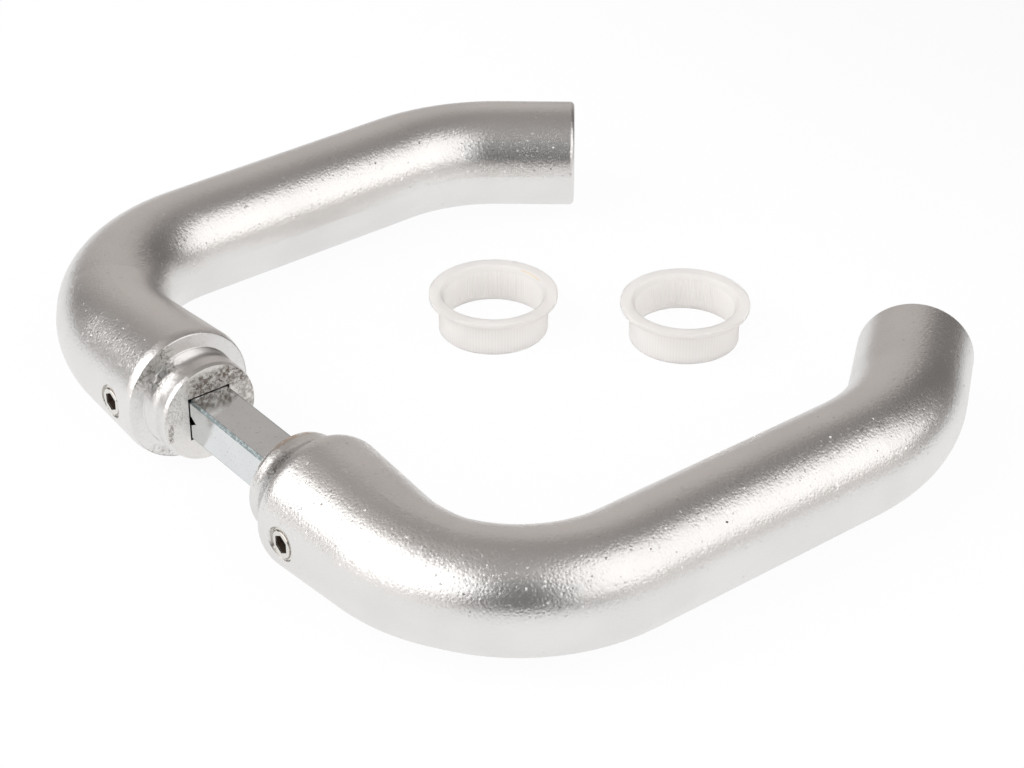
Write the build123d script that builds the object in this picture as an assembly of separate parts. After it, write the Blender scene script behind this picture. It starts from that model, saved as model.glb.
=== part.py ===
from build123d import *
import math
import os

# Gate lever handle: two bent aluminium levers on a square steel spindle, two set screws and two guide bushes.
# The spindle's axis runs along Y through the origin, halfway between the levers. The grips point to +X and
# +Z is up. The set lies flat: the necks and the two loose bushes touch the same level surface.

# Square spindle
spindle_side = 8.0
spindle_length = 81.0
spindle_edge_chamfer = 0.45
spindle_end_chamfer = 0.6
groove_width = 2.8
groove_runout = 2.2
groove_reach = 1.8

# Place of the levers along the spindle
face_gap = 25.8

# Lever bar, from the neck to the tail
bar_diameter = 20.7
neck_diameter = 24.4
neck_straight = 17.4
neck_bend_radius = 27.6
neck_bend_angle = 90.0
swell_bend_angle = 30.0
grip_straight = 48.8
tail_bend_radius = 33.1
tail_bend_angle = 39.0
tail_straight = 15.2
tail_rim_fillet = 0.9

# Turned end of the neck: a softly bevelled edge, a slightly coned shoulder and the spigot that carries a bush
bevel_length = 1.2
bevel_drop = 0.35
bevel_round = 4.0
shoulder_rise = 0.5
spigot_diameter = 18.4
spigot_length = 6.4
spigot_bevel_length = 0.8
spigot_bevel_drop = 0.25

# Socket and tapped hole in the neck
socket_clearance = 0.15
socket_depth = 33.0
screw_setback = 13.3
screw_hole_clearance = 0.05
countersink_depth = 0.2
countersink_angle = 45.0

# Set screw
screw_diameter = 6.0
screw_length = 8.0
screw_end_chamfer = 0.7
screw_point_diameter = 2.0
screw_point_gap = 0.1
hex_key = 3.0
hex_depth = 3.2
hex_turn = 30.0

# Guide bush
bush_flange_diameter = 24.3
bush_flange_thickness = 1.0
bush_height = 7.55
bush_wall = 0.9
bush_clearance = 0.23
bush_rim_chamfer = 0.25
bush_foot_chamfer = 0.35
bush_mouth_flare = 0.45
bush_mouth_depth = 0.9
bush_foot_flare = 0.3
bush_foot_depth = 1.1

# Places of the two bushes on the surface, as X and Y of their axes
rear_bush_place = (67.5, 20.9)
front_bush_place = (93.7, -3.8)

# Values that follow from the sizes above
bar_radius = bar_diameter / 2
neck_radius = neck_diameter / 2
face_y = face_gap / 2
root_y = face_y + spigot_length
shoulder_y = root_y + shoulder_rise
taper_y = shoulder_y + bevel_length
bend_y = shoulder_y + neck_straight
taper_length = bend_y - taper_y
screw_y = face_y + screw_setback
groove_half = groove_width / 2
screw_point_x = groove_half - screw_point_diameter / 2 - spindle_side / 2 - screw_point_gap
swell_on_bend = neck_bend_radius * math.radians(swell_bend_angle)
bend_start_radius = bar_radius + (neck_radius - bar_radius) * swell_on_bend / (taper_length + swell_on_bend)


def bend(start, heading, radius, turn):
    """Return a level arc that leaves a point along a heading and turns towards the grip and the tail."""
    return JernArc(start, heading, radius, -turn)


def run(start, heading, length):
    """Return a straight run from a point along a heading."""
    return Line(start, start + heading * length)


def disc(path, at, radius):
    """Return a round section that stands square to the path at the given share of its length."""
    return Plane(origin=path @ at, z_dir=path % at) * Circle(radius)


def corner(section, x, y):
    """Return the corner of a flat section that lies nearest to a point."""
    return section.vertices().sort_by_distance((x, y))[0]


def neck():
    """Return the straight neck with its bevelled shoulder and spigot, turned about the spindle's axis."""
    spigot_radius = spigot_diameter / 2
    section = make_face(
        Polyline(
            (0, face_y),
            (spigot_radius - spigot_bevel_drop, face_y),
            (spigot_radius, face_y + spigot_bevel_length),
            (spigot_radius, root_y),
            (neck_radius - bevel_drop, shoulder_y),
            (neck_radius, taper_y),
            (bend_start_radius, bend_y),
            (0, bend_y),
            close=True,
        )
    )
    section = fillet(corner(section, neck_radius, taper_y), bevel_round)
    return revolve(section, axis=Axis.Y)


def bar():
    """Return the bent bar: the swell that fades into the first bend, the grip and the turned-in tail."""
    rest_angle = neck_bend_angle - swell_bend_angle
    swell_path = bend((0, bend_y), (0, 1), neck_bend_radius, swell_bend_angle)
    neck_bend = bend(swell_path @ 1, swell_path % 1, neck_bend_radius, rest_angle)
    grip = run(neck_bend @ 1, neck_bend % 1, grip_straight)
    tail_bend = bend(grip @ 1, grip % 1, tail_bend_radius, tail_bend_angle)
    tail = run(tail_bend @ 1, tail_bend % 1, tail_straight)
    swell = sweep(
        sections=[disc(swell_path, 0, bend_start_radius), disc(swell_path, 1, bar_radius)],
        path=swell_path,
        multisection=True,
    )
    route = Wire([neck_bend, grip, tail_bend, tail])
    return swell + sweep(disc(route, 0, bar_radius), path=route)


def socket():
    """Return the square pocket that takes the spindle, open at the spigot's face."""
    side = spindle_side + 2 * socket_clearance
    return Pos(0, face_y + socket_depth / 2, 0) * Box(side, socket_depth, side)


def neck_surface(y):
    """Return the neck's radius at a place along the spindle's axis."""
    share = (y - taper_y) / taper_length
    return neck_radius + (bend_start_radius - neck_radius) * share


def screw_hole():
    """Return the tapped hole from the neck's outer side to the socket, with its countersink."""
    radius = screw_diameter / 2 + screw_hole_clearance
    along_x = Plane(origin=(0, screw_y, 0), x_dir=(0, 1, 0), z_dir=(-1, 0, 0))
    hole = extrude(along_x * Circle(radius), amount=neck_diameter)
    start = neck_surface(screw_y) - countersink_depth
    height = neck_diameter - start
    mouth = radius + height * math.tan(math.radians(countersink_angle / 2))
    sink = Cone(radius, mouth, height, align=(Align.CENTER, Align.CENTER, Align.MIN))
    return hole + along_x.offset(start) * sink


def lever():
    """Return the rear lever where it stands on the spindle."""
    body = neck() + bar()
    rim = body.faces().sort_by(Axis.X).filter_by(GeomType.PLANE)[-1].edges()
    body = fillet(rim, tail_rim_fillet)
    return body - socket() - screw_hole()


def spindle():
    """Return the square spindle, with a pointed groove from each end on the side of the set screws."""
    rod = Box(spindle_side, spindle_length, spindle_side)
    rod = chamfer(rod.edges().filter_by(Axis.Y), spindle_edge_chamfer)
    ends = rod.faces().filter_by(Axis.Y).edges()
    rod = chamfer(ends, spindle_end_chamfer)
    start = face_y - groove_reach + groove_runout
    vee = Plane(origin=(-spindle_side / 2, start, 0), x_dir=(1, 0, 0), z_dir=(0, 1, 0))
    mouth = make_face(Polyline((0, groove_half), (groove_half, 0), (0, -groove_half), close=True))
    channel = extrude(vee * mouth, amount=spindle_length / 2 - start)
    point = loft([vee * mouth, Vertex(-spindle_side / 2, start - groove_runout, 0)])
    groove = channel + point
    return rod - groove - mirror(groove, about=Plane.XZ)


def set_screw():
    """Return the rear set screw: a pin with a hexagon socket outside and a blunt cone point in the groove."""
    along_x = Plane(origin=(screw_point_x, screw_y, 0), x_dir=(0, 1, 0), z_dir=(-1, 0, 0))
    pin = Cylinder(screw_diameter / 2, screw_length, align=(Align.CENTER, Align.CENTER, Align.MIN))
    point_edge = pin.edges().filter_by(GeomType.CIRCLE).sort_by(Axis.Z)[0]
    pin = chamfer(point_edge, (screw_diameter - screw_point_diameter) / 2)
    mouth_edge = pin.edges().filter_by(GeomType.CIRCLE).sort_by(Axis.Z)[-1]
    pin = chamfer(mouth_edge, screw_end_chamfer)
    key = RegularPolygon(hex_key / 2, 6, major_radius=False, rotation=hex_turn)
    pin -= Pos(0, 0, screw_length - hex_depth) * extrude(key, amount=hex_depth)
    return along_x * pin


def guide_bush(place, surface_z):
    """Return a flanged bush that lies flange up on a level surface."""
    bore = spigot_diameter / 2 + bush_clearance
    barrel = bore + bush_wall
    flange = bush_flange_diameter / 2
    under = bush_height - bush_flange_thickness
    section = make_face(
        Polyline(
            (bore + bush_foot_flare, 0),
            (barrel, 0),
            (barrel, under),
            (flange, under),
            (flange, bush_height),
            (bore + bush_mouth_flare, bush_height),
            (bore, bush_height - bush_mouth_depth),
            (bore, bush_foot_depth),
            close=True,
        )
    )
    section = chamfer(corner(section, flange, bush_height), bush_rim_chamfer)
    section = chamfer(corner(section, flange, under), bush_rim_chamfer)
    section = chamfer(corner(section, barrel, 0), bush_foot_chamfer)
    return Pos(place[0], place[1], surface_z) * revolve(Plane.XZ * section, axis=Axis.Z)


rear_lever = lever()
rear_screw = set_screw()
surface_z = rear_lever.bounding_box().min.Z
nodes = {
    "rear_lever": rear_lever,
    "front_lever": mirror(rear_lever, about=Plane.XZ),
    "square_spindle": spindle(),
    "rear_set_screw": rear_screw,
    "front_set_screw": mirror(rear_screw, about=Plane.XZ),
    "rear_guide_bush": guide_bush(rear_bush_place, surface_z),
    "front_guide_bush": guide_bush(front_bush_place, surface_z),
}

os.makedirs("parts", exist_ok=True)
for name, solid in nodes.items():
    export_step(solid, f"parts/{name}.step")
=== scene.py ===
import logging
import math
from dataclasses import dataclass
from enum import Enum
from typing import Mapping, Optional, Sequence, Tuple, Union

import bmesh
import bpy
from mathutils import Matrix, Vector


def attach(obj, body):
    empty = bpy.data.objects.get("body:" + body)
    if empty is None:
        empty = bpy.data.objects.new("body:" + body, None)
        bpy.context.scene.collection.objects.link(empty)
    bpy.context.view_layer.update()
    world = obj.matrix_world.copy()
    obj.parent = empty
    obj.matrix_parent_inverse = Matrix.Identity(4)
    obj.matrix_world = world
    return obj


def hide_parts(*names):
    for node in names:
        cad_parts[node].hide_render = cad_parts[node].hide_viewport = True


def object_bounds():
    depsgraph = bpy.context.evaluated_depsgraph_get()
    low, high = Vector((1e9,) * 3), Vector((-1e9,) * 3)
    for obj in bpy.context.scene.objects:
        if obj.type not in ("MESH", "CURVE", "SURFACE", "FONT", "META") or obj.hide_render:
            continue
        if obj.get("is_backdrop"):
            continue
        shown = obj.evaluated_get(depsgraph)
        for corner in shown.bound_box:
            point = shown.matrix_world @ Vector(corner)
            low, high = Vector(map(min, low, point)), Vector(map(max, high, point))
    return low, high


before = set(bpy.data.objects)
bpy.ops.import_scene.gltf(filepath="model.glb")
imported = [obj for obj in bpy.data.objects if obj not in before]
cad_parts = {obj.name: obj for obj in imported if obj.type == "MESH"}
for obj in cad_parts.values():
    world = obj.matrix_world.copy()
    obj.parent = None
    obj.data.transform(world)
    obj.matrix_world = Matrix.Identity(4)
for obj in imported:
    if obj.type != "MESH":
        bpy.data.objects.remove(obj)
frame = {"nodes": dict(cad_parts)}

Colour = Tuple[float, float, float]
Span = Tuple[float, float]
Number = Union[int, float]

MM = 0.001
PHOTO_WIDTH = 1024
SENSOR_WIDTH = 36.0
RIBS = 108
BUSH_PLACES = {"rear_guide_bush": (67.5 * MM, 20.9 * MM), "front_guide_bush": (93.7 * MM, -3.8 * MM)}
MARKS = {"rear_guide_bush": 4.0}
log = logging.getLogger("gate_lever")


class Outline(Enum):
    """The outline of a lamp, by the name that its setting has."""

    OVAL = "ELLIPSE"
    SQUARE = "RECTANGLE"


class Wire:
    """An output socket whose arithmetic adds Math nodes to its tree."""

    def __init__(self, sheet: "ShaderSheet", socket: bpy.types.NodeSocket) -> None:
        """Keep the socket and the sheet that it belongs to."""
        self.sheet = sheet
        self.socket = socket

    def _math(self, operation: str, *values: Union["Wire", Number]) -> "Wire":
        """Add a Math node.

        Args:
            operation: The Math node's operation.
            values: Its operands, as wires or numbers.

        Returns:
            The node's output.
        """
        return self.sheet.add("ShaderNodeMath", {"operation": operation}, dict(enumerate(values)))

    def __add__(self, other: Union["Wire", Number]) -> "Wire":
        """Return the sum."""
        return self._math("ADD", self, other)

    __radd__ = __add__

    def __sub__(self, other: Union["Wire", Number]) -> "Wire":
        """Return the difference."""
        return self._math("SUBTRACT", self, other)

    def __rsub__(self, other: Number) -> "Wire":
        """Return the difference from a number."""
        return self._math("SUBTRACT", other, self)

    def __mul__(self, other: Union["Wire", Number]) -> "Wire":
        """Return the product."""
        return self._math("MULTIPLY", self, other)

    __rmul__ = __mul__

    def __truediv__(self, other: Union["Wire", Number]) -> "Wire":
        """Return the quotient."""
        return self._math("DIVIDE", self, other)

    def __pow__(self, other: Union["Wire", Number]) -> "Wire":
        """Return the power."""
        return self._math("POWER", self, other)

    def __abs__(self) -> "Wire":
        """Return the size without its sign."""
        return self._math("ABSOLUTE", self)

    def most(self, other: Union["Wire", Number]) -> "Wire":
        """Return the larger of two values."""
        return self._math("MAXIMUM", self, other)

    def least(self, other: Union["Wire", Number]) -> "Wire":
        """Return the smaller of two values."""
        return self._math("MINIMUM", self, other)

    def sine(self) -> "Wire":
        """Return the sine."""
        return self._math("SINE", self)

    def turn_from(self, other: "Wire") -> "Wire":
        """Return the angle of a direction with this value as its rise and the other as its run."""
        return self._math("ARCTAN2", self, other)

    def ramp(self, start: Number, end: Number, low: Number = 0.0, high: Number = 1.0) -> "Wire":
        """Ease from one value to another.

        Args:
            start: Where the easing starts.
            end: Where it ends.
            low: The value before the start.
            high: The value past the end.

        Returns:
            The eased value.
        """
        if start > end:
            start, end, low, high = end, start, high, low
        return self.sheet.add(
            "ShaderNodeMapRange",
            {"interpolation_type": "SMOOTHSTEP"},
            {"Value": self, "From Min": start, "From Max": end, "To Min": low, "To Max": high},
        )


class ShaderSheet:
    """A node tree of a material or of the world, emptied and ready for new nodes."""

    def __init__(self, tree: bpy.types.NodeTree) -> None:
        """Empty the tree and keep it."""
        self.tree = tree
        tree.nodes.clear()

    def add(
        self,
        kind: str,
        settings: Optional[Mapping[str, object]] = None,
        sockets: Optional[Mapping[Union[str, int], object]] = None,
        out: Union[str, int] = 0,
    ) -> Wire:
        """Add a node.

        Args:
            kind: The node's type.
            settings: Its settings, set before its sockets.
            sockets: The values or links of its inputs, by identifier, name or place.
            out: The output to return, by identifier, name or place.

        Returns:
            The chosen output.
        """
        node = self.tree.nodes.new(kind)
        for key, value in (settings or {}).items():
            setattr(node, key, value)
        for key, value in (sockets or {}).items():
            self._feed(self._find(node.inputs, key), value)
        return Wire(self, self._find(node.outputs, out) if len(node.outputs) else None)

    @staticmethod
    def _find(sockets: bpy.types.bpy_prop_collection, key: Union[str, int]) -> bpy.types.NodeSocket:
        """Find a socket.

        Args:
            sockets: The node's inputs or outputs.
            key: Its identifier, its name or its place.

        Returns:
            The socket.
        """
        if isinstance(key, int):
            return sockets[key]
        for socket in sockets:
            if socket.identifier == key:
                return socket
        return sockets[key]

    def _feed(self, socket: bpy.types.NodeSocket, value: object) -> None:
        """Link a wire to an input, or set the input to a number or a colour.

        Args:
            socket: The input.
            value: The wire, number or colour.
        """
        if isinstance(value, Wire):
            self.tree.links.new(value.socket, socket)
        elif socket.type == "RGBA" and len(value) == 3:
            socket.default_value = (*value, 1.0)
        else:
            socket.default_value = value

    def blend(self, share: Union[Wire, Number], first: object, second: object) -> Wire:
        """Mix two colours.

        Args:
            share: The share of the second colour.
            first: The colour at 0.
            second: The colour at 1.

        Returns:
            The mixed colour.
        """
        return self.add(
            "ShaderNodeMix",
            {"data_type": "RGBA"},
            {"Factor_Float": share, "A_Color": first, "B_Color": second},
            "Result_Color",
        )

    def vector(self, operation: str, *values: object, out: Union[str, int] = 0, **more: object) -> Wire:
        """Add a Vector Math node.

        Args:
            operation: The node's operation.
            values: Its vectors.
            out: The output to return.
            more: Other sockets by name.

        Returns:
            The chosen output.
        """
        sockets = {**dict(enumerate(values)), **more}
        return self.add("ShaderNodeVectorMath", {"operation": operation}, sockets, out)

    def place(self) -> Wire:
        """Return the place on the piece, in metres."""
        return self.add("ShaderNodeTexCoord", out="Object")

    def axes(self, place: Wire) -> Tuple[Wire, Wire, Wire]:
        """Return a place's X, Y and Z."""
        node = self.add("ShaderNodeSeparateXYZ", None, {0: place}).socket.node
        return Wire(self, node.outputs[0]), Wire(self, node.outputs[1]), Wire(self, node.outputs[2])

    def noise(self, place: Wire, size: float, detail: float = 2.0, rough: float = 0.5) -> Wire:
        """Add a cloudy noise.

        Args:
            place: Where it is read.
            size: The size of its blotches in metres.
            detail: How many finer layers it has.
            rough: How strong the finer layers are.

        Returns:
            The noise, from 0 to 1.
        """
        return self.add(
            "ShaderNodeTexNoise",
            None,
            {"Vector": place, "Scale": 1.0 / size, "Detail": detail, "Roughness": rough},
        )

    def cells(self, place: Wire, size: float, out: str, sharp: float = 1.0) -> Wire:
        """Add a pattern of random cells.

        Args:
            place: Where it is read.
            size: The size of a cell in metres.
            out: Distance or Color.
            sharp: How unevenly the cells are spread.

        Returns:
            The chosen output.
        """
        return self.add(
            "ShaderNodeTexVoronoi", None, {"Vector": place, "Scale": 1.0 / size, "Randomness": sharp}, out
        )

    def tilted(self, tilt: Wire) -> Wire:
        """Return the surface's normal, tilted by a vector."""
        normal = self.add("ShaderNodeNewGeometry", out="Normal")
        return self.vector("NORMALIZE", self.vector("ADD", normal, tilt))

    def bump(self, height: Wire, depth: float, normal: Optional[Wire] = None) -> Wire:
        """Turn a height into a normal.

        Args:
            height: The height, from 0 to 1.
            depth: What a height of 1 stands for, in metres.
            normal: The normal to start from.

        Returns:
            The new normal.
        """
        sockets = {"Height": height, "Distance": depth, "Strength": 1.0}
        if normal is not None:
            sockets["Normal"] = normal
        return self.add("ShaderNodeBump", None, sockets)

    def surface(self, shader: Wire, kind: str = "ShaderNodeOutputMaterial") -> None:
        """Send a shader to an output of the tree."""
        self.add(kind, None, {"Surface": shader})


def new_material(name: str) -> Tuple[bpy.types.Material, ShaderSheet]:
    """Make a material with an empty node tree.

    Args:
        name: The material's name.

    Returns:
        The material and its sheet.
    """
    material = bpy.data.materials.new(name)
    material.use_nodes = True
    return material, ShaderSheet(material.node_tree)


@dataclass(frozen=True)
class BlastedAluminium:
    """Satin anodised aluminium with a blasted grain, a dented spigot and a rough cast end face."""

    name: str = "Blasted_aluminium"
    colour: Colour = (0.80, 0.787, 0.774)
    face_colour: Colour = (0.92, 0.90, 0.875)
    cast_colour: Colour = (0.24, 0.20, 0.165)
    stain_colour: Colour = (0.55, 0.40, 0.27)
    dark_fleck_colour: Colour = (0.30, 0.28, 0.25)
    pit_colour: Colour = (0.22, 0.20, 0.18)
    roughness: float = 0.335
    face_roughness: float = 0.20
    blotch_size: float = 14.0 * MM
    blotch_tone: float = 0.96
    pit_spacing: float = 7.0 * MM
    pit_share: float = 0.20
    stain_share: float = 0.7
    dimple_size: float = 0.58 * MM
    dimple_depth: float = 0.024 * MM
    spark_size: float = 0.36 * MM
    spark_tilt: float = 0.50
    lip_tilt: float = 0.9
    root_tilt: float = 0.95
    dent_size: float = 1.5 * MM
    dent_depth: float = 0.50 * MM
    crust_depth: float = 0.40 * MM
    fleck_size: float = 0.55 * MM
    fleck_way: Tuple[float, float] = (-0.643, 0.766)
    lower_edge_way: Tuple[float, float] = (-0.5, -0.866)
    pit_row: Tuple[float, float] = (-7.9 * MM, -1.4 * MM)
    pit_row_width: Span = (0.2 * MM, 0.7 * MM)
    pit_row_height: Span = (1.2 * MM, 2.0 * MM)
    crust_size: float = 0.6 * MM
    lump_size: float = 1.5 * MM
    grit_size: float = 0.40 * MM
    broad_size: float = 1.8 * MM
    patch_size: float = 2.4 * MM
    stain_size: float = 1.2 * MM
    stain_reach: Span = (0.6 * MM, 1.6 * MM)
    stain_z: Span = (7.6 * MM, 9.0 * MM)
    dent_x: Span = (-1.0 * MM, -3.5 * MM)
    dent_z: Span = (0.5 * MM, 3.5 * MM)
    dent_along: Span = (15.0 * MM, 17.5 * MM)
    fleck_along: Span = (14.5 * MM, 17.5 * MM)
    lower_edge_radius: Span = (9.6 * MM, 11.0 * MM)
    crust_bottom: Span = (2.8 * MM, 4.4 * MM)
    crust_top: Span = (7.2 * MM, 8.8 * MM)
    crust_left: Span = (-5.5 * MM, -2.0 * MM)
    crust_right: Span = (4.0 * MM, 6.5 * MM)
    grit_x: Span = (-4.0 * MM, -6.0 * MM)
    grit_z: Span = (-1.0 * MM, 2.0 * MM)
    inner_lip: Span = (0.12 * MM, 0.30 * MM)
    outer_lip: Span = (0.30 * MM, 0.05 * MM)
    hollow: Span = (4.4 * MM, 1.2 * MM)
    hollow_end: Span = (0.10 * MM, 0.05 * MM)
    shoulder_step: float = 0.05 * MM
    face_y: float = 12.9 * MM
    root_y: float = 19.3 * MM
    shoulder_y: float = 19.8 * MM
    spigot_radius: float = 9.2 * MM
    shoulder_radius: float = 11.85 * MM

    def material(self) -> bpy.types.Material:
        """Build the finish.

        Returns:
            The material.
        """
        material, sheet = new_material(self.name)
        place = sheet.place()
        x, y, z = sheet.axes(place)
        along = abs(y)
        rear = y.ramp(-1 * MM, 1 * MM)
        radius = (x * x + z * z) ** 0.5
        spigot = along.ramp(self.root_y, self.shoulder_y, 1.0, 0.0)
        face = along.ramp(self.face_y + 0.02 * MM, self.face_y + 0.10 * MM, 1.0, 0.0)
        wall = spigot * (1.0 - face)
        normal = self._grain(sheet, place, spigot, self._lips(sheet, x, y, z, along, radius))
        normal = sheet.bump(self._dents(sheet, place, x, along, z, rear) * wall, self.dent_depth, normal)
        crust = sheet.noise(place, self.crust_size, 3.0, 0.65)
        crust = crust + 0.8 * sheet.noise(place, self.lump_size, 2.0)
        cast = face * self._cast(sheet, place, x, z)
        normal = sheet.bump(crust * (0.25 * face + 0.75 * cast), self.crust_depth, normal)
        blotch = sheet.noise(place, self.blotch_size, 2.0)
        darker = tuple(c * self.blotch_tone for c in self.colour)
        tone = sheet.blend(blotch.ramp(0.35, 0.65), self.colour, darker)
        pits = sheet.cells(place, self.pit_spacing, "Distance").ramp(0.022, 0.034, 1.0, 0.0)
        tone = sheet.blend(pits * self.pit_share, tone, self.pit_colour)
        tone = sheet.blend(self._dark_flecks(sheet, place, x, z, along, radius), tone, self.dark_fleck_colour)
        tone = sheet.blend(cast, sheet.blend(face, tone, self.face_colour), self.cast_colour)
        near, far = (self.face_y + reach for reach in self.stain_reach)
        rim = along.ramp(near, far, 1.0, 0.0) * (1.0 - rear) * z.ramp(*self.stain_z)
        stain = rim * sheet.noise(place, self.stain_size, 2.0).ramp(0.35, 0.6)
        tone = sheet.blend(stain * self.stain_share, tone, self.stain_colour)
        shader = sheet.add(
            "ShaderNodeBsdfPrincipled",
            None,
            {
                "Base Color": tone,
                "Metallic": 1.0,
                "Roughness": self.roughness + 0.05 * (blotch - 0.5) + self.face_roughness * face,
                "Normal": normal,
            },
        )
        sheet.surface(shader)
        return material

    def _grain(self, sheet: ShaderSheet, place: Wire, spigot: Wire, lips: Wire) -> Wire:
        """Dimple the blasted skin and let a few facets sparkle.

        Args:
            sheet: The material's sheet.
            place: The place on the piece.
            spigot: 1 on the turned spigot, whose skin is calmer.
            lips: The tilt of the turned edges and the hollow.

        Returns:
            The tilted normal.
        """
        calm = 1.0 - 0.6 * spigot
        way = sheet.vector("SUBTRACT", sheet.cells(place, self.spark_size, "Color"), (0.5, 0.5, 0.5))
        farthest = 3 * 0.5 ** 2
        reach = sheet.vector("DOT_PRODUCT", way, way, out="Value") / farthest
        spark = sheet.vector("SCALE", way, Scale=calm * self.spark_tilt * reach ** 3)
        dimples = sheet.cells(place, self.dimple_size, "Distance").ramp(0.05, 0.65)
        dimples = 0.7 * dimples + 0.6 * sheet.noise(place, 0.8 * self.dimple_size, 1.0)
        tilted = sheet.tilted(sheet.vector("ADD", spark, lips))
        return sheet.bump(dimples * calm, self.dimple_depth, tilted)

    def _lips(self, sheet: ShaderSheet, x: Wire, y: Wire, z: Wire, along: Wire, radius: Wire) -> Wire:
        """Round the two edges of the turned shoulder and hollow the spigot towards its root.

        Args:
            sheet: The material's sheet.
            x: The place's X.
            y: Its Y.
            z: Its Z.
            along: Its distance from the middle along the spindle.
            radius: Its distance from the spindle's axis.

        Returns:
            The tilt.
        """
        on_shoulder = along.ramp(self.root_y - self.shoulder_step, self.root_y) * along.ramp(
            self.shoulder_y, self.shoulder_y + self.shoulder_step, 1.0, 0.0
        )
        inner = [self.spigot_radius + width for width in self.inner_lip]
        outer = [self.shoulder_radius - width for width in self.outer_lip]
        lip = radius.ramp(*inner, 1.0, 0.0).most(radius.ramp(*outer))
        outward = self.lip_tilt * on_shoulder * lip
        hollow = [self.root_y - length for length in self.hollow]
        end = [self.root_y - length for length in self.hollow_end]
        root = along.ramp(*hollow) * along.ramp(*end, 1.0, 0.0)
        inward = -self.root_tilt * root * y / along
        parts = {0: outward * x / radius, 1: inward, 2: outward * z / radius}
        return sheet.add("ShaderNodeCombineXYZ", None, parts)

    def _dents(self, sheet: ShaderSheet, place: Wire, x: Wire, along: Wire, z: Wire, rear: Wire) -> Wire:
        """Dent the spigots' upper left, the front one most near its root.

        Args:
            sheet: The material's sheet.
            place: The place on the piece.
            x: The place's X.
            along: Its distance from the middle along the spindle.
            z: Its Z.
            rear: 1 on the rear lever.

        Returns:
            The height.
        """
        side = x.ramp(*self.dent_x) * z.ramp(*self.dent_z)
        near_root = along.ramp(*self.dent_along)
        amount = side * (0.22 * rear + (1.0 - rear) * (0.25 + 0.75 * near_root)) + 0.04
        return amount * sheet.noise(place, self.dent_size, 3.0, 0.55)

    def _dark_flecks(self, sheet: ShaderSheet, place: Wire, x: Wire, z: Wire, along: Wire, radius: Wire) -> Wire:
        """Darken the turned end with flecks, most on its upper left and along its lower edge.

        Args:
            sheet: The material's sheet.
            place: The place on the piece.
            x: The place's X.
            z: Its Z.
            along: Its distance from the middle along the spindle.
            radius: Its distance from the spindle's axis.

        Returns:
            The share of the dark fleck colour.
        """
        turned = along.ramp(self.shoulder_y, self.shoulder_y + 0.3 * MM, 1.0, 0.0)
        upper = (self.fleck_way[0] * x + self.fleck_way[1] * z) / radius
        upper = upper.ramp(0.87, 0.97) * along.ramp(*self.fleck_along)
        lower = (self.lower_edge_way[0] * x + self.lower_edge_way[1] * z) / radius
        lower = lower.ramp(0.94, 0.985) * radius.ramp(*self.lower_edge_radius)
        fleck = sheet.noise(place, self.fleck_size, 3.0, 0.7).ramp(0.44, 0.60)
        patch = sheet.noise(place, self.patch_size, 2.0).ramp(0.32, 0.62, 0.25, 1.0)
        return turned * fleck * patch * (0.85 * upper + 0.6 * lower + 0.10).least(1.0)

    def _cast(self, sheet: ShaderSheet, place: Wire, x: Wire, z: Wire) -> Wire:
        """Mottle the end face, most above the socket and in a row of pits at the left.

        Args:
            sheet: The material's sheet.
            place: The place on the piece.
            x: The place's X.
            z: Its Z.

        Returns:
            The share of the cast colour.
        """
        fine = sheet.noise(place, self.fleck_size, 3.0, 0.7).ramp(0.42, 0.60)
        grit = sheet.noise(place, self.grit_size, 3.0, 0.7).ramp(0.46, 0.68)
        broad = sheet.noise(place, self.broad_size, 2.0).ramp(0.36, 0.60)
        above = z.ramp(*self.crust_bottom) * z.ramp(*self.crust_top, 1.0, 0.0)
        above = above * x.ramp(*self.crust_left)
        right = x.ramp(*self.crust_right) * 0.6
        left = x.ramp(*self.grit_x) * z.ramp(*self.grit_z)
        row = abs(x - self.pit_row[0]).ramp(*self.pit_row_width, 1.0, 0.0)
        row = row * abs(z - self.pit_row[1]).ramp(*self.pit_row_height, 1.0, 0.0)
        crust = above.most(right) * (0.14 + 0.60 * fine + 0.30 * broad)
        return (crust + 0.25 * left * grit + 0.7 * row * fine + 0.05 * grit).least(1.0)


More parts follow.
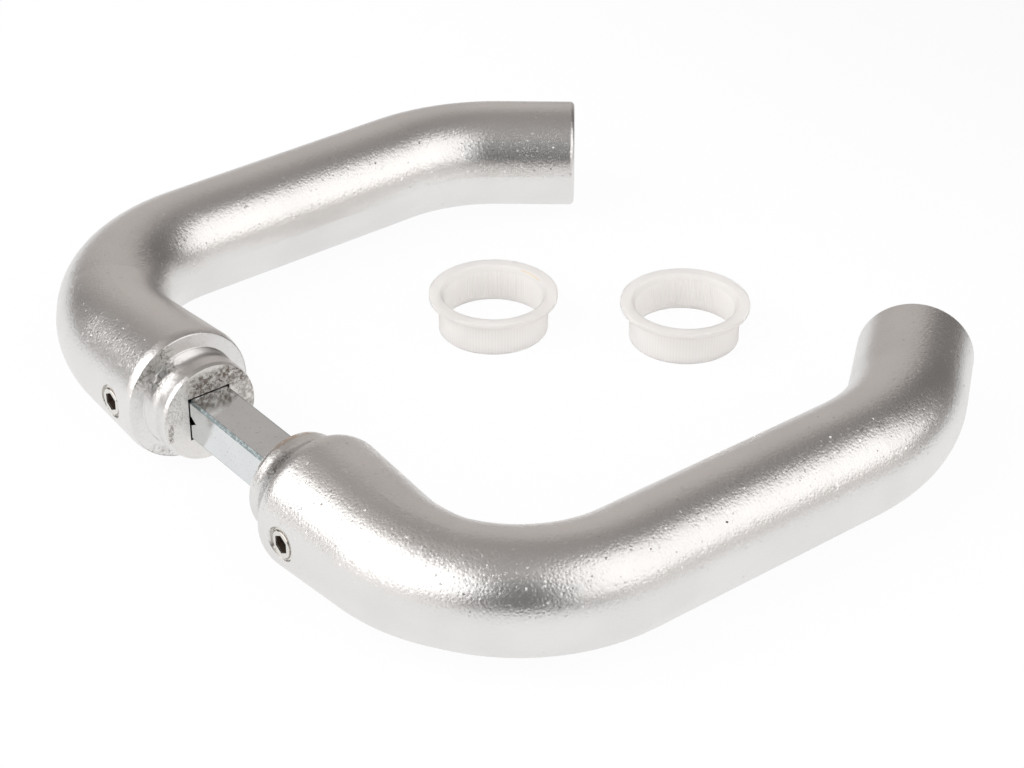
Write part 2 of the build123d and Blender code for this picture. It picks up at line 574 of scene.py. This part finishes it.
@dataclass(frozen=True)
class ZincPlate:
    """Bright zinc plating with fine drawn grain, faint specks and duller edges."""

    name: str = "Zinc_plate"
    colour: Colour = (0.72, 0.737, 0.743)
    edge_colour: Colour = (0.20, 0.235, 0.24)
    chamfer_mottle_colour: Colour = (0.35, 0.39, 0.395)
    speck_colour: Colour = (0.38, 0.37, 0.36)
    roughness: float = 0.14
    cloud_size: float = 5.0 * MM
    cloud_tone: float = 0.93
    speck_size: float = 0.42 * MM
    speck_share: float = 0.45
    line_size: float = 0.35 * MM
    line_depth: float = 0.006 * MM
    chamfer_mottle_size: float = 0.38 * MM
    half_side: float = 4.0 * MM
    chamfer: float = 0.45 * MM

    def material(self) -> bpy.types.Material:
        """Build the finish.

        Returns:
            The material.
        """
        material, sheet = new_material(self.name)
        place = sheet.place()
        x, _, z = sheet.axes(place)
        edge = (abs(x) + abs(z) - 2 * self.half_side + self.chamfer).ramp(-0.12 * MM, -0.02 * MM)
        drawn = sheet.vector("MULTIPLY", place, (1.0, 0.12, 1.0))
        lines = sheet.noise(drawn, self.line_size, 2.0)
        speck = sheet.noise(place, self.speck_size, 2.0)
        cloud = sheet.noise(place, self.cloud_size, 2.0)
        darker = tuple(c * self.cloud_tone for c in self.colour)
        tone = sheet.blend(cloud.ramp(0.35, 0.7) * 0.5, self.colour, darker)
        tone = sheet.blend(speck.ramp(0.62, 0.74) * self.speck_share, tone, self.speck_colour)
        # The chamfered edges are coloured darker and bluish, with a mottle.
        chamfer_mottle = sheet.noise(sheet.vector("MULTIPLY", place, (1.0, 0.6, 1.0)), self.chamfer_mottle_size, 2.0)
        chamfer_tone = sheet.blend(chamfer_mottle.ramp(0.45, 0.62), self.edge_colour, self.chamfer_mottle_colour)
        tone = sheet.blend(edge, tone, chamfer_tone)
        normal = sheet.bump(lines + speck * 0.5, self.line_depth)
        shader = sheet.add(
            "ShaderNodeBsdfPrincipled",
            None,
            {
                "Base Color": tone,
                "Metallic": 1.0,
                "Roughness": self.roughness + 0.06 * (cloud - 0.5) + 0.12 * edge,
                "Normal": normal,
            },
        )
        sheet.surface(shader)
        return material


@dataclass(frozen=True)
class PlatedScrew:
    """Bright plated steel with painted shade: a dark hexagon socket and a thin dark ring round its end.
    """

    name: str = "Plated_screw"
    colour: Colour = (0.80, 0.78, 0.74)
    socket_shade_colour: Colour = (0.090, 0.062, 0.046)
    gap_shade_colour: Colour = (0.20, 0.155, 0.125)
    socket_radius: float = 1.80 * MM
    line_radius: float = 2.45 * MM
    roughness: float = 0.20
    scratch_size: float = 0.4 * MM
    scratch_depth: float = 0.012 * MM
    scratch_tone: float = 0.86
    rim_tilt: float = 3.0
    axis_y: float = 26.2 * MM
    mouth_x: float = -11.70 * MM

    def material(self) -> bpy.types.Material:
        """Build the finish.

        Returns:
            The material.
        """
        material, sheet = new_material(self.name)
        place = sheet.place()
        x, y, z = sheet.axes(place)
        off = abs(y) - self.axis_y
        radius = (off * off + z * z) ** 0.5
        # Painted shade: the hexagon socket's recess is coloured dark, standing in for the shade inside
        # it.
        inside = radius.ramp(self.socket_radius, self.socket_radius + 0.06 * MM, 1.0, 0.0)
        deep = x.ramp(self.mouth_x + 0.08 * MM, self.mouth_x + 0.35 * MM)
        dark = inside * deep
        scratch = sheet.noise(place, self.scratch_size, 2.0)
        # Painted shadow: a thin dark ring at the screw's chamfer, standing in for the shadowed gap
        # between screw and hole.
        outside = radius.ramp(self.line_radius, self.line_radius + 0.08 * MM)
        line = abs(radius - self.line_radius).ramp(0.04 * MM, 0.14 * MM, 1.0, 0.0)
        tone = sheet.blend(scratch, self.colour, tuple(c * self.scratch_tone for c in self.colour))
        tone = sheet.blend(dark, tone, self.socket_shade_colour)
        tone = sheet.blend(line * scratch.ramp(0.3, 0.5, 0.5, 0.9), tone, self.gap_shade_colour)
        flat = sheet.add("ShaderNodeCombineXYZ", None, {0: outside * -self.rim_tilt})
        shader = sheet.add(
            "ShaderNodeBsdfPrincipled",
            None,
            {
                "Base Color": tone,
                "Metallic": 1.0 - 0.6 * dark,
                "Roughness": self.roughness + 0.10 * scratch + 0.30 * dark,
                "Normal": sheet.bump(scratch, self.scratch_depth, sheet.tilted(flat)),
            },
        )
        sheet.surface(shader)
        return material


@dataclass(frozen=True)
class MilkyNylon:
    """Natural nylon that lets some light through, faintly clouded, with painted shade in stripes along
    its ribs and over the flange's top.
    """

    name: str
    centre: Tuple[float, float]
    ribs: int
    mark: Optional[float] = None
    colour: Colour = (0.895, 0.862, 0.837)
    mark_colour: Colour = (0.80, 0.66, 0.50)
    cloud_size: float = 3.0 * MM
    cloud_tone: float = 0.985
    rib_shade_tone: float = 0.94
    flange_painted_shade: float = 0.89
    flange_from: float = -5.9 * MM
    flange_to: float = -5.5 * MM
    mark_radius: float = 9.80 * MM
    mark_core: float = 12.0
    mark_end: float = 19.0
    roughness: float = 0.62
    clear_share: float = 0.45
    clear_bend: float = 1.08
    scatter_reach: float = 3.5 * MM

    def material(self) -> bpy.types.Material:
        """Build the finish.

        Returns:
            The material.
        """
        material, sheet = new_material(self.name)
        place = sheet.place()
        x, y, z = sheet.axes(place)
        run, rise = x - self.centre[0], y - self.centre[1]
        turn = rise.turn_from(run)
        cloud = sheet.noise(place, self.cloud_size, 3.0)
        # Painted shade: stripes round the walls at the rib pitch, standing in for the ribs' shade seen
        # through the nylon.
        rib_shade = (turn * self.ribs).sine() * 0.5 + 0.5
        below = z.ramp(self.flange_from, self.flange_to, 1.0, 0.0)
        clouded, rib_shaded_colour, painted_flange_tone = (
            tuple(c * tone for c in self.colour)
            for tone in (self.cloud_tone, self.rib_shade_tone, self.flange_painted_shade)
        )
        tone = sheet.blend(cloud.ramp(0.35, 0.7), self.colour, clouded)
        tone = sheet.blend(rib_shade * below, tone, rib_shaded_colour)
        # Painted shade: the flange's top is coloured darker, standing in for how the light falls on it.
        tone = sheet.blend(1.0 - below, tone, painted_flange_tone)
        if self.mark is not None:
            radius = (run * run + rise * rise) ** 0.5
            core, end = math.radians(self.mark_core), math.radians(self.mark_end)
            arc = abs(turn - math.radians(self.mark)).ramp(core, end, 1.0, 0.0)
            line = abs(radius - self.mark_radius).ramp(0.04 * MM, 0.12 * MM, 1.0, 0.0)
            tone = sheet.blend(arc * line * (1.0 - below), tone, self.mark_colour)
        shader = sheet.add(
            "ShaderNodeBsdfPrincipled",
            None,
            {
                "Base Color": tone,
                "Roughness": self.roughness + 0.08 * (cloud - 0.5),
                "IOR": self.clear_bend,
                "Transmission Weight": self.clear_share,
                "Subsurface Weight": 1.0,
                "Subsurface Radius": (1.0, 0.96, 0.92),
                "Subsurface Scale": self.scatter_reach,
            },
        )
        sheet.surface(shader)
        return material


@dataclass
class GuideBush:
    """A flanged nylon bush with fine ribs down its bore, lying flange up."""

    node: str
    centre: Tuple[float, float]
    floor: float
    finish: MilkyNylon
    bore: float = 9.43 * MM
    barrel: float = 10.33 * MM
    flange: float = 12.15 * MM
    height: float = 7.55 * MM
    flange_thickness: float = 1.0 * MM
    foot_flare: float = 0.3 * MM
    mouth_flare: float = 0.45 * MM
    rounding: float = 0.22 * MM
    flat_edge: float = 0.28 * MM
    rib_low: float = 1.1 * MM
    rib_high: float = 6.65 * MM
    rib_height: float = 0.13 * MM
    rib_lead: float = 0.15 * MM
    rib_ramp: float = 0.2 * MM
    rib_edge: float = 0.2
    slack: float = 0.01 * MM
    ribs: int = RIBS
    rib_steps: int = 4
    rounded: Tuple[int, ...] = (0, 6, 9, 10, 14)
    weld: float = 0.002 * MM
    sharp_from: float = 40.0

    def outline(self) -> Sequence[Tuple[float, float]]:
        """Lay out the section, up the bore and down the outside.

        Returns:
            The corners as radius and height, with one more beside each rounded corner,
            which keeps the flats flat.
        """
        under = self.height - self.flange_thickness
        return (
            (self.bore + self.foot_flare, 0.0),
            (self.bore, self.rib_low - self.rib_lead),
            (self.bore, self.rib_low),
            (self.bore, self.rib_low + self.rib_ramp),
            (self.bore, self.rib_high - self.rib_ramp),
            (self.bore, self.rib_high),
            (self.bore + self.mouth_flare, self.height),
            (self.bore + self.mouth_flare + self.flat_edge, self.height),
            (self.flange - self.flat_edge, self.height),
            (self.flange, self.height),
            (self.flange, under),
            (self.flange - self.flat_edge, under),
            (self.barrel, under),
            (self.barrel, self.flat_edge),
            (self.barrel, 0.0),
        )

    def build(self) -> bpy.types.Object:
        """Model the bush from one rib's sector.

        Returns:
            The bush.
        """
        mesh = bmesh.new()
        corners = [mesh.verts.new((r, 0.0, z)) for r, z in self.outline()]
        for a, b in zip(corners, corners[1:] + corners[:1]):
            mesh.edges.new((a, b))
        rounded = [corners[i] for i in self.rounded]
        bmesh.ops.bevel(
            mesh, geom=rounded, offset=self.rounding, offset_type="OFFSET", affect="VERTICES",
            segments=3, profile=0.5, material=-1,
        )
        pitch = math.tau / self.ribs
        bmesh.ops.spin(
            mesh, geom=mesh.verts[:] + mesh.edges[:], cent=(0, 0, 0), axis=(0, 0, 1),
            angle=pitch, steps=self.rib_steps,
        )
        self._raise_rib(mesh, pitch)
        bmesh.ops.spin(
            mesh, geom=mesh.verts[:] + mesh.edges[:] + mesh.faces[:], cent=(0, 0, 0), axis=(0, 0, 1),
            angle=math.tau - pitch, steps=self.ribs - 1, use_duplicate=True,
        )
        bmesh.ops.remove_doubles(mesh, verts=mesh.verts, dist=self.weld)
        bmesh.ops.recalc_face_normals(mesh, faces=mesh.faces)
        bmesh.ops.translate(mesh, verts=mesh.verts, vec=(*self.centre, self.floor))
        self._sort(mesh)
        return self._finish(mesh)

    def _raise_rib(self, mesh: bmesh.types.BMesh, pitch: float) -> None:
        """Pull the middle columns of the bore inwards.

        Args:
            mesh: The sector of one rib.
            pitch: The sector's angle.
        """
        inner = self.bore - self.rib_height
        foot = self.rib_ramp / 2
        for vert in mesh.verts:
            radius = vert.co.xy.length
            turn = math.atan2(vert.co.y, vert.co.x) % math.tau
            on_rib = self.rib_edge * pitch < turn < (1.0 - self.rib_edge) * pitch
            in_band = self.rib_low + foot < vert.co.z < self.rib_high - foot
            if on_rib and in_band and radius < self.bore + self.slack:
                vert.co.xy *= inner / radius

    def _sort(self, mesh: bmesh.types.BMesh) -> None:
        """Number the elements by their places, because the operators' own order changes from run to run.

        Args:
            mesh: The whole bush.
        """
        for number, vert in enumerate(sorted(mesh.verts, key=lambda vert: vert.co[:])):
            vert.index = number
        mesh.verts.sort()
        for elements in (mesh.edges, mesh.faces):
            ranked = sorted(elements, key=lambda element: sorted(vert.index for vert in element.verts))
            for number, element in enumerate(ranked):
                element.index = number
            elements.sort()

    def _finish(self, mesh: bmesh.types.BMesh) -> bpy.types.Object:
        """Turn the mesh into a dressed piece that stands for the node.

        Args:
            mesh: The whole bush.

        Returns:
            The piece.
        """
        data = bpy.data.meshes.new(self.node + "_ribbed")
        mesh.to_mesh(data)
        mesh.free()
        data.shade_smooth()
        data.set_sharp_from_angle(angle=math.radians(self.sharp_from))
        piece = bpy.data.objects.new(self.node + "_ribbed", data)
        bpy.context.scene.collection.objects.link(piece)
        data.materials.append(self.finish.material())
        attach(piece, "spindle")
        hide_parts(self.node)
        return piece


@dataclass
class LeverSet:
    """The two levers, the spindle and the screws, which keep the solids' shapes."""

    aluminium: BlastedAluminium = BlastedAluminium()
    zinc: ZincPlate = ZincPlate()
    screw: PlatedScrew = PlatedScrew()

    def dress(self, nodes: Mapping[str, bpy.types.Object]) -> None:
        """Give each node its finish.

        Args:
            nodes: The nodes by name.
        """
        aluminium = self.aluminium.material()
        screw = self.screw.material()
        finishes = {
            "rear_lever": aluminium,
            "front_lever": aluminium,
            "square_spindle": self.zinc.material(),
            "rear_set_screw": screw,
            "front_set_screw": screw,
        }
        for name, material in finishes.items():
            data = nodes[name].data
            data.materials.clear()
            data.materials.append(material)
            log.info("%s dressed in %s", name, material.name)


@dataclass(frozen=True)
class Softbox:
    """A large soft lamp, placed by its direction from the object."""

    name: str
    azimuth: float
    elevation: float
    width: float
    height: float
    radiance: float
    distance: float = 0.9
    outline: Outline = Outline.OVAL
    upright: bool = False
    mirrored: bool = True

    def build(self, centre: Vector) -> bpy.types.Object:
        """Hang the lamp.

        Args:
            centre: The point that it is placed from.

        Returns:
            The lamp.
        """
        turn, rise = math.radians(self.azimuth), math.radians(self.elevation)
        level = Vector((math.cos(turn), math.sin(turn), 0.0))
        way = level * math.cos(rise) + Vector((0.0, 0.0, math.sin(rise)))
        data = bpy.data.lights.new(self.name, "AREA")
        data.shape = self.outline.value
        data.size = 2 * self.distance * math.tan(math.radians(self.width / 2))
        data.size_y = 2 * self.distance * math.tan(math.radians(self.height / 2))
        area = data.size * data.size_y * (math.pi / 4 if self.outline is Outline.OVAL else 1.0)
        data.energy = self.radiance * math.pi * area
        lamp = bpy.data.objects.new(self.name, data)
        lamp.visible_glossy = self.mirrored
        bpy.context.scene.collection.objects.link(lamp)
        turned = (level if self.upright else way).to_track_quat("Z", "Y").to_matrix().to_4x4()
        lamp.matrix_world = Matrix.Translation(centre + way * self.distance) @ turned
        return lamp


@dataclass(frozen=True)
class RoomPatch:
    """A soft patch of the room that metal mirrors, by its direction."""

    azimuth: float
    elevation: float
    core: float
    edge: float
    level: float

    def way(self) -> Tuple[float, float, float]:
        """Return the patch's direction."""
        turn, rise = math.radians(self.azimuth), math.radians(self.elevation)
        return math.cos(rise) * math.cos(turn), math.cos(rise) * math.sin(turn), math.sin(rise)


@dataclass
class Studio:
    """The white floor, the grey room, the soft lamps and the camera."""

    floor: float
    target: Tuple[float, float, float] = (57.79 * MM, 2.83 * MM, -12.19 * MM)
    azimuth: float = -38.2
    elevation: float = 32.96
    roll: float = 0.11
    distance: float = 468.8 * MM
    focal_pixels: float = 2564.0
    room_level: float = 0.20
    room_tint: Colour = (1.0, 0.93, 0.89)
    ambient: float = 0.56
    through: float = 0.85
    floor_white: float = 0.94
    floor_glow: float = 0.92
    floor_colour: Colour = (0.90, 0.90, 0.90)
    floor_painted_dim_colour: Colour = (0.30, 0.29, 0.28)
    floor_size: float = 6.0
    floor_lit: float = 0.11
    floor_dim: float = 0.28
    clip: Tuple[float, float] = (0.01, 50.0)
    patches: Sequence[RoomPatch] = (
        RoomPatch(60.0, 80.0, 10.0, 50.0, 0.30),
        RoomPatch(52.0, 14.0, 14.0, 46.0, 0.57),
        RoomPatch(-60.0, -1.0, 12.0, 26.0, 0.70),
        RoomPatch(116.0, 57.0, 6.0, 24.0, 0.52),
        RoomPatch(-2.0, 28.0, 8.0, 34.0, 0.12),
        RoomPatch(-127.0, 30.0, 13.0, 34.0, 0.02),
        RoomPatch(158.0, 0.0, 8.0, 20.0, 0.75),
        RoomPatch(-172.0, 0.0, 8.0, 20.0, 0.80),
    )
    softboxes: Sequence[Softbox] = (
        Softbox("Left_softbox", 168.5, 35.0, 77.0, 53.0, 1.70),
        Softbox("Right_softbox", -66.5, 54.3, 51.3, 67.5, 1.20, 1.6, Outline.SQUARE, upright=True),
        Softbox("Left_key", 166.0, 50.0, 40.0, 30.0, 1.6, mirrored=False),
    )

    def build(self) -> None:
        """Set up the floor, the room, the lamps and the camera."""
        self._floor()
        self._room()
        for box in self.softboxes:
            box.build(Vector((self.target[0], self.target[1], self.floor)))
            log.info("%s hung", box.name)
        self._camera()

    def _floor_share(self, sheet: ShaderSheet, far: Wire) -> Wire:
        """Share out how much of the floor is plain white.

        Args:
            sheet: The floor's sheet.
            far: 1 where the floor runs out of the light.

        Returns:
            The share: most to the camera and through nylon, less in mirrors and none in other light.
        """
        path = sheet.add("ShaderNodeLightPath").socket.node.outputs
        camera, through = Wire(sheet, path["Is Camera Ray"]), Wire(sheet, path["Is Transmission Ray"])
        mirrored = Wire(sheet, path["Is Glossy Ray"]) * self.floor_glow * (1.0 - far)
        return (camera.most(through) * self.floor_white).most(mirrored)

    def _floor(self) -> None:
        """Lay a wide white floor that keeps the object's shadow, with painted shade darkening it far
        along X.
        """
        mesh = bmesh.new()
        bmesh.ops.create_grid(mesh, x_segments=1, y_segments=1, size=self.floor_size)
        bmesh.ops.translate(mesh, verts=mesh.verts, vec=(0, 0, self.floor))
        data = bpy.data.meshes.new("Floor")
        mesh.to_mesh(data)
        mesh.free()
        floor = bpy.data.objects.new("Floor", data)
        bpy.context.scene.collection.objects.link(floor)
        material, sheet = new_material("White_floor")
        # Painted shade: the floor's colour darkens far along X, where the light is taken to run out,
        # mostly seen in the metal's reflections.
        far = sheet.axes(sheet.place())[0].ramp(self.floor_lit, self.floor_dim)
        tone = sheet.blend(far, self.floor_colour, self.floor_painted_dim_colour)
        plain = sheet.add("ShaderNodeBsdfDiffuse", None, {"Color": tone})
        white = sheet.add("ShaderNodeEmission", None, {"Color": (1.0, 1.0, 1.0), "Strength": 1.0})
        share = self._floor_share(sheet, far)
        sheet.surface(sheet.add("ShaderNodeMixShader", None, {0: share, 1: plain, 2: white}))
        data.materials.append(material)
        floor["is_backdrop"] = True

    def _room(self) -> None:
        """Make the room white to the camera, grey to metal and pale to everything else."""
        world = bpy.data.worlds.new("Studio")
        bpy.context.scene.world = world
        world.use_nodes = True
        sheet = ShaderSheet(world.node_tree)
        way = sheet.add("ShaderNodeTexCoord", out="Generated")
        level = self.room_level
        for patch in self.patches:
            facing = sheet.vector("DOT_PRODUCT", way, patch.way(), out="Value")
            share = facing.ramp(math.cos(math.radians(patch.edge)), math.cos(math.radians(patch.core)))
            level = share * patch.level + (1.0 - share) * level
        path = sheet.add("ShaderNodeLightPath").socket.node.outputs
        camera, glossy = Wire(sheet, path["Is Camera Ray"]), Wire(sheet, path["Is Glossy Ray"])
        through = Wire(sheet, path["Is Transmission Ray"])
        tone = sheet.blend(level, (0.0, 0.0, 0.0), self.room_tint)
        tone = sheet.blend(glossy, (self.ambient, self.ambient, self.ambient), tone)
        tone = sheet.blend(through, tone, (self.through, self.through, self.through))
        tone = sheet.blend(camera, tone, (1.0, 1.0, 1.0))
        light = sheet.add("ShaderNodeBackground", None, {"Color": tone, "Strength": 1.0})
        sheet.surface(light, "ShaderNodeOutputWorld")

    def _camera(self) -> None:
        """Stand the camera where the photograph was taken from."""
        az, el, roll = (math.radians(v) for v in (self.azimuth, self.elevation, self.roll))
        right = Vector((math.cos(az), math.sin(az), 0.0))
        ahead = Vector((-math.sin(az) * math.cos(el), math.cos(az) * math.cos(el), -math.sin(el)))
        up = right.cross(ahead)
        turned_right = right * math.cos(roll) + up * math.sin(roll)
        turned_up = up * math.cos(roll) - right * math.sin(roll)
        data = bpy.data.cameras.new("Camera")
        data.sensor_width = SENSOR_WIDTH
        data.lens = self.focal_pixels / PHOTO_WIDTH * SENSOR_WIDTH
        data.clip_start, data.clip_end = self.clip
        camera = bpy.data.objects.new("Camera", data)
        bpy.context.scene.collection.objects.link(camera)
        turn = Matrix((turned_right, turned_up, -ahead)).transposed().to_4x4()
        camera.matrix_world = Matrix.Translation(Vector(self.target) - ahead * self.distance) @ turn
        bpy.context.scene.camera = camera


def main() -> None:
    """Build and dress every piece, then the studio round them."""
    logging.basicConfig(level=logging.INFO, format="%(name)s: %(message)s")
    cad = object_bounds()
    floor = cad[0].z
    bpy.context.scene.view_settings.view_transform = "Standard"
    LeverSet().dress(frame["nodes"])
    for node, place in BUSH_PLACES.items():
        finish = MilkyNylon("Milky_nylon_" + node.split("_")[0], place, RIBS, MARKS.get(node))
        piece = GuideBush(node, place, floor, finish).build()
        log.info("%s built with %d faces", piece.name, len(piece.data.polygons))
    Studio(floor).build()


if __name__ == "__main__":
    main()
